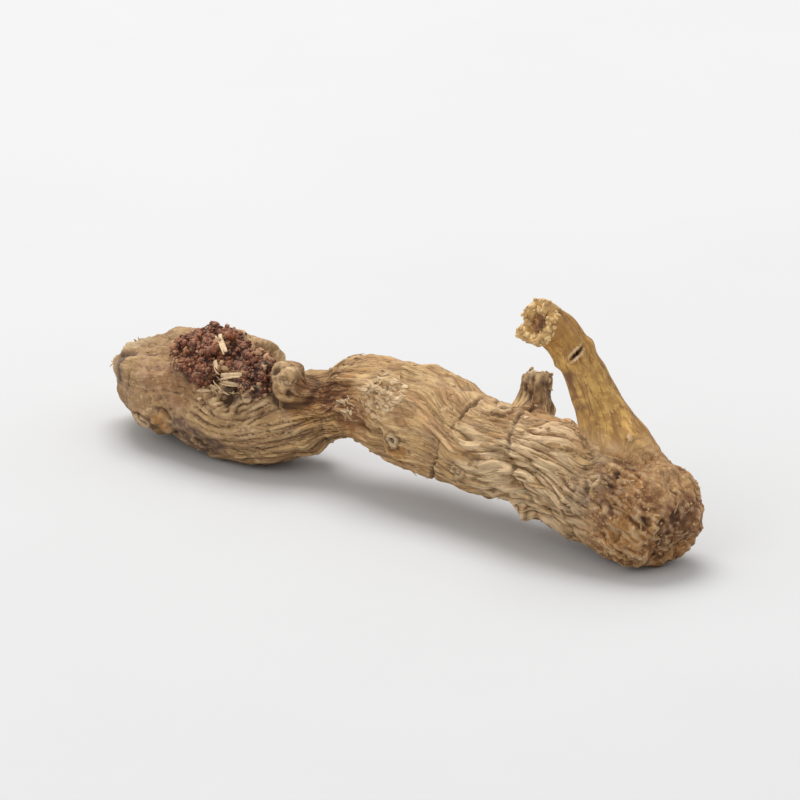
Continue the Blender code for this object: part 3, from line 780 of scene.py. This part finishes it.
base = layered(
    tree, base,
    ("joint", 0.80, joint_tone),
    ("growing_end", 0.90, end_tone),
    # painted shade on faces that point down
    ("under", 0.45, (0.215, 0.108, 0.044)),
    ("orange", 0.8, (0.42, 0.190, 0.045)),
    # red streaks and spots of the skin, and painted shade on one side of the shoot
    ("red", 0.88, (0.215, 0.078, 0.028)),
    (purple, 0.85, (0.108, 0.062, 0.055)),
    (times(tree, purple, dots), 0.9, (0.030, 0.014, 0.012)),
    ("crust", 1.0, crust_tone),
    ("knob", 1.0, layered(tree, knob_tone, (specks, 0.6, (0.66, 0.480, 0.280)))),
    ("bud", 0.75, mixed(tree, blotches, (0.46, 0.290, 0.130), (0.16, 0.080, 0.038))),
    ("shoot", 1.0, shoot_tone),
    ("cut", 1.0, mixed(tree, specks, (0.50, 0.29, 0.095), (0.85, 0.61, 0.29))),
    ("core", 0.85, mixed(tree, specks, (0.28, 0.115, 0.038), (0.62, 0.34, 0.16))),
)

# crests are paler, partly in the skin's own worn tone and partly as painted highlight; furrows and low places
# are darker as painted shade, and cracks and gaps between plates darker in the bark's own pattern
pale_crest_and_highlight = times(tree, times(tree, sloped(tree, marked(tree, "crest"), 0.05, 0.9), 0.50), off_shoot)
base = mixed(tree, pale_crest_and_highlight, base, mixed(tree, 0.5, base, (0.84, 0.60, 0.31)))
furrow_shade = sloped(tree, marked(tree, "crest"), -0.05, -0.80)
low_place_shade = sloped(tree, marked(tree, "swell"), 0.0, -0.9)
shade = times(tree, reckoned(tree, "MAXIMUM", furrow_shade, times(tree, low_place_shade, 0.55)), off_shoot)
# the bark's own dark cracks and plate gaps join the painted shade here
thin = reckoned(tree, "MAXIMUM", dark_lines, times(tree, plate_gaps, 0.60))
shade = reckoned(tree, "MAXIMUM", shade, times(tree, thin, on_stretch))
shade = times(tree, times(tree, shade, shaded), 0.85)
base = mixed(tree, shade, base, mixed(tree, 0.85, base, (0.070, 0.034, 0.018)))
base = layered(
    tree, base,
    ("pale", 0.85, (0.78, 0.580, 0.350)),
    ("dark", 1.0, (0.055, 0.024, 0.012)),
)

rough = sloped(tree, marked(tree, "shoot"), 0.0, 1.0, 0.76, 0.45)
rough = reckoned(tree, "ADD", rough, times(tree, fibres, 0.08))
ridges = grouped(tree, grit, "Height", Place=drawn_out, Size=0.30, Ridges=0.6)
grains = grouped(tree, grit, "Height", Place=place, Size=0.26, Ridges=0.2)
relief_sum = reckoned(tree, "MULTIPLY_ADD", ridges, 0.45, times(tree, grains, 0.45))
plate_rise = reckoned(tree, "MULTIPLY_ADD", plate_tone, 0.5, times(tree, thin, -0.8))
relief_sum = times(tree, reckoned(tree, "MULTIPLY_ADD", plate_rise, on_stretch, relief_sum), off_shoot)
finished(tree, base, rough, relief_sum, 0.12)

skin.data.materials.clear()
skin.data.materials.append(skin_finish)
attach(skin, "root")
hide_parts("rhizome")

# Crust of the stem scar
# Corky beads that healed over the place where last year's stem fell off, dark red to purple with tops paler
# as painted highlight, grown on the raised lobes of the swollen joint. Each bead is a small uneven lump, sunk
# into the crust.
BEAD_COUNT, BEAD_APART = 900, 0.23
BEAD_RADII = (0.11, 0.52)


def scattered(candidates, count, apart, draw):
    """Up to count of the candidate points, drawn by chance, that stand apart from each other."""
    kept = []
    for index in draw.permutation(candidates):
        if not kept or np.min(np.linalg.norm(points[kept] - points[index], axis=1)) > apart:
            kept.append(index)
        if len(kept) == count:
            break
    return kept


def lump_shape():
    """The points and faces of a ball of radius 1."""
    ball = bmesh.new()
    bmesh.ops.create_icosphere(ball, subdivisions=2, radius=1.0)
    shape = np.array([v.co[:] for v in ball.verts]), [[v.index for v in f.verts] for f in ball.faces]
    ball.free()
    return shape


def uneven_lump(middle, way, radius, flat, draw, rough=0.7):
    """A lump at a point, pressed flat along the outward way."""
    level = np.cross(way, UP + 0.01)
    level /= np.linalg.norm(level)
    turned = np.stack((level, np.cross(way, level), way))
    seed = draw.uniform(-50, 50, 3)
    swollen = BALL_POINTS * (1 + rough * noise_at(BALL_POINTS + seed, 0.9))[:, None]
    stretch = draw.uniform(0.80, 1.25, 3) * (1, 1, flat)
    return middle + (swollen * stretch * radius) @ turned


def joined(name, shapes, tones, material):
    """One object from many small shapes, each with a tone of its own from 0 to 1."""
    places, faces, tone = [], [], []
    for (shape_points, shape_faces), own in zip(shapes, tones):
        first = len(places)
        shape_points[:, 2] = np.maximum(shape_points[:, 2], 0.02)      # nothing reaches under the table top
        places.extend((shape_points * MM).tolist())
        faces.extend([first + corner for corner in face] for face in shape_faces)
        tone.extend([own] * len(shape_points))
    mesh = bpy.data.meshes.new(name)
    mesh.from_pydata(places, [], faces)
    mesh.shade_smooth()
    mark(mesh, "tone", np.array(tone))
    mesh.materials.append(material)
    made = bpy.data.objects.new(name, mesh)
    bpy.context.scene.collection.objects.link(made)
    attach(made, "root")


BALL_POINTS, BALL_FACES = lump_shape()
draw = np.random.default_rng(21)
beads, tones = [], []
crusted = np.flatnonzero((crust > 0.35) * (noise_at(points + 70, 0.7) > -0.32))
for index in scattered(crusted, BEAD_COUNT, BEAD_APART, draw):
    radius = BEAD_RADII[0] + (BEAD_RADII[1] - BEAD_RADII[0]) * draw.beta(1.2, 2.9)
    radius *= 0.7 + 0.3 * crust[index]
    middle = points[index] + outward[index] * (0.10 - 0.45 * radius + 0.08 * draw.normal())
    beads.append((uneven_lump(middle, outward[index], radius, 0.9, draw, 1.05), BALL_FACES))
    purple_side = blend(-20.0, -16.5, points[index][0] + draw.normal(0, 0.8))
    own = np.clip(0.28 + 0.35 * purple_side + draw.normal(0, 0.28), 0, 1)
    # paler corky beads, most along the rim
    healed = draw.random() < (0.45 if crust[index] < 0.8 else 0.10)
    tones.append(-draw.uniform(0.2, 0.8) if healed else own)

bead_finish, tree = new_material("scar_crust", 0.55, 0.4)
place = place_in_mm(tree)
cloud = patched(tree, place, 0.9, 0.38, 0.62)
flecks = patched(tree, place, 0.16, 0.55, 0.68, 2.0)
# how far each face points up, for the painted highlight on the beads' tops
faces_up = put(tree, "SeparateXYZ", {0: put(tree, "TexCoord").outputs["Normal"]}).outputs[2]
bead_tone = layered(
    tree, mixed(tree, cloud, (0.290, 0.086, 0.034), (0.125, 0.032, 0.014)),
    ("tone", 1.0, (0.055, 0.019, 0.014)),
    (sloped(tree, faces_up, 0.1, 1.0), 0.22, (0.52, 0.23, 0.10)),
    (flecks, 0.70, (0.60, 0.33, 0.19)),
    (sloped(tree, marked(tree, "tone"), 0.0, -1.0), 1.0, (0.60, 0.37, 0.19)),
)
bead_grit = grouped(tree, grit, "Height", Place=place, Size=0.14, Ridges=0.3)
finished(tree, bead_tone, sloped(tree, cloud, 0.0, 1.0, 0.48, 0.66), bead_grit, 0.06)
joined("scar_crust", beads, tones, bead_finish)

# Torn fibres
# Straw-like ends of the old stem and loose strips of torn skin, flat, stiff and pale, still rooted where they
# tore: across the cleft of the scar, on the hump with small pale scabs between them, at the broken old end,
# and beside the bud stub.
STRAW_STEPS, STRAW_SIDES = 7, 6
STRIP_APART = 0.22
# share of the length, turn, height over the skin, spread along and round, count, length, half width, how
# far they stand off, and the dullest tone, from 0 to 1
TORN_PLACES = (
    (0.252, 140, 0.0, 1.6, 1.0, 18, 1.3, 0.12, 0.20, 0.0),
    (0.507, 137, 0.0, 2.0, 1.6, 42, 1.1, 0.20, 0.22, 0.45),
    (0.452, 172, 0.0, 1.5, 0.8, 16, 0.9, 0.19, 0.18, 0.45),
    (0.020, 150, 0.0, 0.8, 2.6, 26, 1.1, 0.12, 0.20, 0.0),
    (0.006, 180, -2.0, 1.0, 2.0, 26, 1.1, 0.10, 0.30, 0.0),
    (0.705, 62, 4.0, 1.6, 1.6, 22, 0.7, 0.24, 0.12, 0.0),
    (0.740, 85, 0.0, 2.5, 1.6, 12, 1.2, 0.12, 0.22, 0.0),
    (0.880, 160, 0.0, 1.8, 2.0, 9, 0.9, 0.12, 0.15, 0.0),
    (0.800, 285, 0.0, 4.0, 2.5, 12, 1.2, 0.12, 0.22, 0.0),
)
# stiff straws across the scar's cleft, each with a thin strand beside it: both ends, and half the width
STIFF_STRAWS = (
    ((-18.6, -6.2, 9.9), (-14.9, -6.7, 11.0), 0.30),
    ((-18.4, -6.1, 9.3), (-15.0, -6.7, 9.9), 0.22),
    ((-21.2, -3.4, 13.0), (-18.5, -5.3, 11.9), 0.30),
    ((-20.0, -5.5, 11.0), (-19.1, -5.9, 10.1), 0.30),
    ((-21.5, -6.5, 7.9), (-19.5, -6.5, 8.4), 0.17),
    ((-21.1, -6.8, 7.1), (-20.2, -6.8, 7.4), 0.18),
)
VIEWER_SIDE = np.array((0.64, -0.70, 0.31))      # the straws' broad sides face this way
SCAB_COUNT, SCAB_APART = 46, 0.36


def straw(start, run, way, length, half_width, half_thick, lift, bend, blunt=0.6):
    """A flat strip that starts in the skin and curls away from it; it tapers less as blunt nears 0."""
    across = np.cross(run, way)
    ring_turns = np.linspace(0, 2 * math.pi, STRAW_SIDES, endpoint=False)
    rows = []
    for step in np.linspace(0, 1, STRAW_STEPS):
        taper = math.sin(math.pi * (0.14 + 0.78 * step)) ** blunt
        middle = start + run * length * step + way * (lift * step**2 - 0.05)
        middle += across * bend * (step - 0.5) ** 2
        for angle in ring_turns:
            rows.append(middle + across * math.cos(angle) * half_width * taper
                        + way * math.sin(angle) * half_thick * taper)
    last = len(rows) - STRAW_SIDES
    faces = [list(range(STRAW_SIDES - 1, -1, -1)), list(range(last, len(rows)))]
    for first in range(0, last, STRAW_SIDES):
        for k in range(STRAW_SIDES):
            low, high = first + k, first + (k + 1) % STRAW_SIDES
            faces.append([low, high, high + STRAW_SIDES, low + STRAW_SIDES])
    return np.array(rows), faces


def laid_on_skin(index, spin):
    """A direction along the skin at a point: the root's own direction, turned by an angle."""
    way = outward[index]
    run = np.array((1.0, 0, 0)) - way * way[0]
    run /= np.linalg.norm(run)
    return run * math.cos(spin) + np.cross(way, run) * math.sin(spin), way


draw = np.random.default_rng(33)
strips, tones = [], []
for torn_share, degrees, raised, spread_along, spread_round, *strip in TORN_PLACES:
    count, length, half_width, lift, dullest = strip
    middle, upward = skin_place(torn_share, degrees)
    middle = middle + upward * raised
    offset = (points - middle) / (spread_along, spread_round, spread_round)
    close = np.linalg.norm(offset, axis=1) < 1.2
    near = np.flatnonzero(close * (on_shoot < 0.2) * (knob < 0.3) * (z > 0.6))
    for index in scattered(near, count, STRIP_APART, draw):
        run, way = laid_on_skin(index, draw.normal(0, 0.38) + math.pi * draw.integers(0, 2))
        own_length = length * draw.uniform(0.5, 1.25)
        strips.append(straw(
            points[index] - run * own_length * 0.3, run, way, own_length,
            half_width * draw.uniform(0.6, 1.4), draw.uniform(0.03, 0.07), lift * draw.uniform(0.2, 1.4),
            draw.normal(0, 0.4),
        ))
        tones.append(draw.uniform(dullest, 1))
for low_end, high_end, half_width in STIFF_STRAWS:
    for shift, wide in ((-0.35, 0.78), (0.75, 0.36)):
        run = np.subtract(high_end, low_end) + draw.normal(0, 0.08 if shift < 0 else 0.20, 3)
        length = np.linalg.norm(run)
        run /= length
        way = VIEWER_SIDE - run * (VIEWER_SIDE @ run)
        way /= np.linalg.norm(way)
        start = np.array(low_end) + np.cross(run, way) * shift * half_width + run * draw.uniform(-0.2, 0.4)
        strips.append(straw(
            start, run, way, length * draw.uniform(0.75, 1.0), half_width * wide * draw.uniform(0.85, 1.15),
            draw.uniform(0.08, 0.14), draw.uniform(0.0, 0.2), draw.normal(0, 0.3), 0.25,
        ))
        tones.append(draw.uniform(0.55, 1.0))
# pale scabs between the strips on the hump, where the bark was rubbed off
rubbed = np.flatnonzero(spot(RUBBED_PATCH, 3.0, 1.3) > 0.5)
for index in scattered(rubbed, SCAB_COUNT, SCAB_APART, draw):
    radius = 0.13 + 0.26 * draw.beta(1.2, 2.0)
    middle = points[index] - outward[index] * radius * draw.uniform(0.1, 0.5)
    strips.append((uneven_lump(middle, outward[index], radius, 0.55, draw, 1.0), BALL_FACES))
    tones.append(draw.uniform(0.30, 0.95))

straw_finish, tree = new_material("torn_fibre", 0.70, 0.3)
place = place_in_mm(tree)
cloud = patched(tree, place, 0.8, 0.40, 0.62)
streaks = grouped(tree, lines, "Mask", Place=place, Size=0.35, Width=0.05)
straw_tone = layered(
    tree, mixed(tree, marked(tree, "tone"), (0.50, 0.320, 0.15), (0.86, 0.65, 0.41)),
    (cloud, 0.35, (0.36, 0.23, 0.11)),
    (streaks, 0.35, (0.16, 0.085, 0.045)),
)
straw_grit = grouped(tree, grit, "Height", Place=place, Size=0.15, Ridges=0.6)
finished(tree, straw_tone, sloped(tree, cloud, 0.0, 1.0, 0.66, 0.80), straw_grit, 0.04)
joined("torn_fibres", strips, tones, straw_finish)

# Loose bark
# The thin outer bark lifts at its edges as the root shrinks, in little flat flakes along the furrows, and the
# hair roots leave short bits and grains. All keep the skin's colour, some a little paler and some darker.
FLAKE_COUNT, FLAKE_APART = 520, 0.55
BIT_COUNT, BIT_APART = 60, 0.45
GRAIN_COUNT, GRAIN_APART = 460, 0.30
draw = np.random.default_rng(47)
flakes, tones = [], []
bare = (crust < 0.1) * (on_shoot < 0.1) * (knob < 0.2) * (on_bud < 0.3) * (z > 0.8)
likely = np.clip(1.0 - 0.75 * on_joint * (1 - lined) + 0.4 * deep, 0.1, 1.4) * bare      # most in the furrows
flaking = np.flatnonzero(likely > draw.uniform(0, 1.3, len(points)))
for index in scattered(flaking, FLAKE_COUNT, FLAKE_APART, draw):
    run, way = laid_on_skin(index, draw.normal(0, 0.14) + math.pi * draw.integers(0, 2))
    length = draw.uniform(0.7, 2.0)
    flakes.append(straw(
        points[index] - run * length * 0.4, run, way, length,
        length * draw.uniform(0.06, 0.14), draw.uniform(0.025, 0.05),
        draw.uniform(0.02, 0.24) * (1 - 0.8 * on_end[index]),
        draw.normal(0, 0.15),
    ))
    tones.append(np.clip(draw.normal(0.5, 0.25) - 0.35 * on_end[index] - 0.35 * on_joint[index], 0, 1))

folded_end = np.flatnonzero((on_end > 0.5) * (on_shoot < 0.05) * (z > 0.8) * (shoulder < 0.4))
for index in scattered(folded_end, BIT_COUNT, BIT_APART, draw):
    run, way = laid_on_skin(index, draw.uniform(0, 2 * math.pi))
    length = draw.uniform(0.25, 0.60)
    flakes.append(straw(
        points[index] - run * length * 0.5, run, way, length, draw.uniform(0.08, 0.18), 0.05, 0.0, 0.0, 0.4,
    ))
    tones.append(np.clip(draw.normal(0.5, 0.35), 0, 1))
for index in scattered(folded_end, GRAIN_COUNT, GRAIN_APART, draw):
    radius = 0.07 + 0.15 * draw.beta(1.3, 2.4)
    middle = points[index] - outward[index] * radius * draw.uniform(0.0, 0.6)
    flakes.append((uneven_lump(middle, outward[index], radius, 0.7, draw), BALL_FACES))
    tones.append(np.clip(draw.normal(0.50, 0.30), 0, 0.85))
# one chip where the shoot leaves the root
chip = int(np.argmin(np.linalg.norm(points - (31.8, -1.1, 13.2), axis=1)))
flakes.append((uneven_lump(points[chip], outward[chip], 0.42, 0.45, draw), BALL_FACES))
tones.append(1.0)

flake_finish, tree = new_material("loose_bark", 0.76, 0.3)
place = place_in_mm(tree)
cloud = patched(tree, place, 1.0, 0.42, 0.60)
streaks = grouped(tree, lines, "Mask", Place=place, Size=0.5, Width=0.04)
flake_tone = layered(
    tree, mixed(tree, marked(tree, "tone"), (0.30, 0.160, 0.070), (0.68, 0.46, 0.23)),
    (cloud, 0.45, (0.44, 0.255, 0.11)),
    (streaks, 0.40, (0.13, 0.070, 0.036)),
)
flake_grit = grouped(tree, grit, "Height", Place=place, Size=0.18, Ridges=0.5)
finished(tree, flake_tone, sloped(tree, cloud, 0.0, 1.0, 0.70, 0.84), flake_grit, 0.05)
joined("loose_bark", flakes, tones, flake_finish)

# Crumbs of the shoot's cut end
# The cut shoot dried to a crumbly pale ring round its pithy hollow, with browner crumbs further in.
CRUMB_COUNT, CRUMB_APART = 110, 0.34
draw = np.random.default_rng(59)
crumbs, tones = [], []
at_cut = np.flatnonzero((on_shoot > 0.9) * (rise > shoot_length - 0.9 - 0.8 * rim_top) * (shoot_reach > 0.35))
for index in scattered(at_cut, CRUMB_COUNT, CRUMB_APART, draw):
    radius = 0.14 + 0.20 * draw.beta(1.4, 2.0)
    middle = points[index] - outward[index] * radius * draw.uniform(0.1, 0.7)
    crumbs.append((uneven_lump(middle, outward[index], radius, 0.8, draw), BALL_FACES))
    tones.append(np.clip(draw.normal(0.20 + 0.62 * blend(0.35, 0.70, shoot_reach[index]), 0.28), 0, 1))

crumb_finish, tree = new_material("cut_crumbs", 0.70, 0.3)
place = place_in_mm(tree)
cloud = patched(tree, place, 0.4, 0.40, 0.62)
crumb_tone = layered(
    tree, mixed(tree, marked(tree, "tone"), (0.24, 0.096, 0.030), (0.83, 0.58, 0.27)),
    (cloud, 0.40, (0.36, 0.22, 0.095)),
)
crumb_grit = grouped(tree, grit, "Height", Place=place, Size=0.14, Ridges=0.3)
finished(tree, crumb_tone, sloped(tree, cloud, 0.0, 1.0, 0.64, 0.80), crumb_grit, 0.05)
joined("cut_crumbs", crumbs, tones, crumb_finish)

# Floor
# A plain pale table top, matt, that runs on past the edge of the picture.
FLOOR_SIZE = 6.0            # metres
floor_mesh = bmesh.new()
bmesh.ops.create_grid(floor_mesh, x_segments=1, y_segments=1, size=FLOOR_SIZE / 2)
floor_data = bpy.data.meshes.new("table_top")
floor_mesh.to_mesh(floor_data)
floor_mesh.free()
floor = bpy.data.objects.new("table_top", floor_data)
bpy.context.scene.collection.objects.link(floor)
floor_finish, tree = new_material("table_top", 0.9, 0.2)
table_tone = patched(tree, place_in_mm(tree), 40.0, 0.3, 0.7)
table_white = mixed(tree, table_tone, (0.60, 0.60, 0.60), (0.61, 0.61, 0.61))
table_grit = grouped(tree, grit, "Height", Place=place_in_mm(tree), Size=2.0, Ridges=0.0)
finished(tree, table_white, sloped(tree, table_tone, 0.0, 1.0, 0.88, 0.92), table_grit, 0.005)
floor_data.materials.append(floor_finish)

# Light
# One broad soft light above and a little behind, a weak one from the viewer's side, and a pale room around.
TARGET = Vector((0.0012, -0.001, 0.0105))


def soft_light(name, place, size, watts):
    lamp = bpy.data.lights.new(name, "AREA")
    lamp.shape = "DISK"
    lamp.size = size
    lamp.energy = watts
    made = bpy.data.objects.new(name, lamp)
    made.location = place
    made.rotation_euler = (TARGET - Vector(place)).to_track_quat("-Z", "Y").to_euler()
    bpy.context.scene.collection.objects.link(made)


soft_light("light_above", (-0.22, 0.16, 0.64), 0.52, 3.6)
soft_light("light_near", (0.10, -0.62, 0.40), 0.45, 0.9)
world = bpy.data.worlds.new("room")
world.use_nodes = True
room = world.node_tree.nodes["Background"]
room.inputs["Color"].default_value = (1.0, 1.0, 1.0, 1.0)
room.inputs["Strength"].default_value = 0.74
bpy.context.scene.world = world
bpy.context.scene.view_settings.view_transform = "Standard"

# Camera
# A long lens looks down a little from the front right, where the root's growing end points.
AZIMUTH, ELEVATION, DISTANCE = math.radians(42), math.radians(18), 2.0
PICTURE_WIDTH = 0.080       # how much the picture takes in at the root, in metres
view_from = Vector((
    math.sin(AZIMUTH) * math.cos(ELEVATION),
    -math.cos(AZIMUTH) * math.cos(ELEVATION),
    math.sin(ELEVATION),
))
lens = bpy.data.cameras.new("camera")
lens.sensor_width = 36
lens.lens = lens.sensor_width * DISTANCE / PICTURE_WIDTH
lens.clip_end = 20
camera = bpy.data.objects.new("camera", lens)
camera.location = TARGET + view_from * DISTANCE
camera.rotation_euler = (-view_from).to_track_quat("-Z", "Y").to_euler()
bpy.context.scene.collection.objects.link(camera)
bpy.context.scene.camera = camera
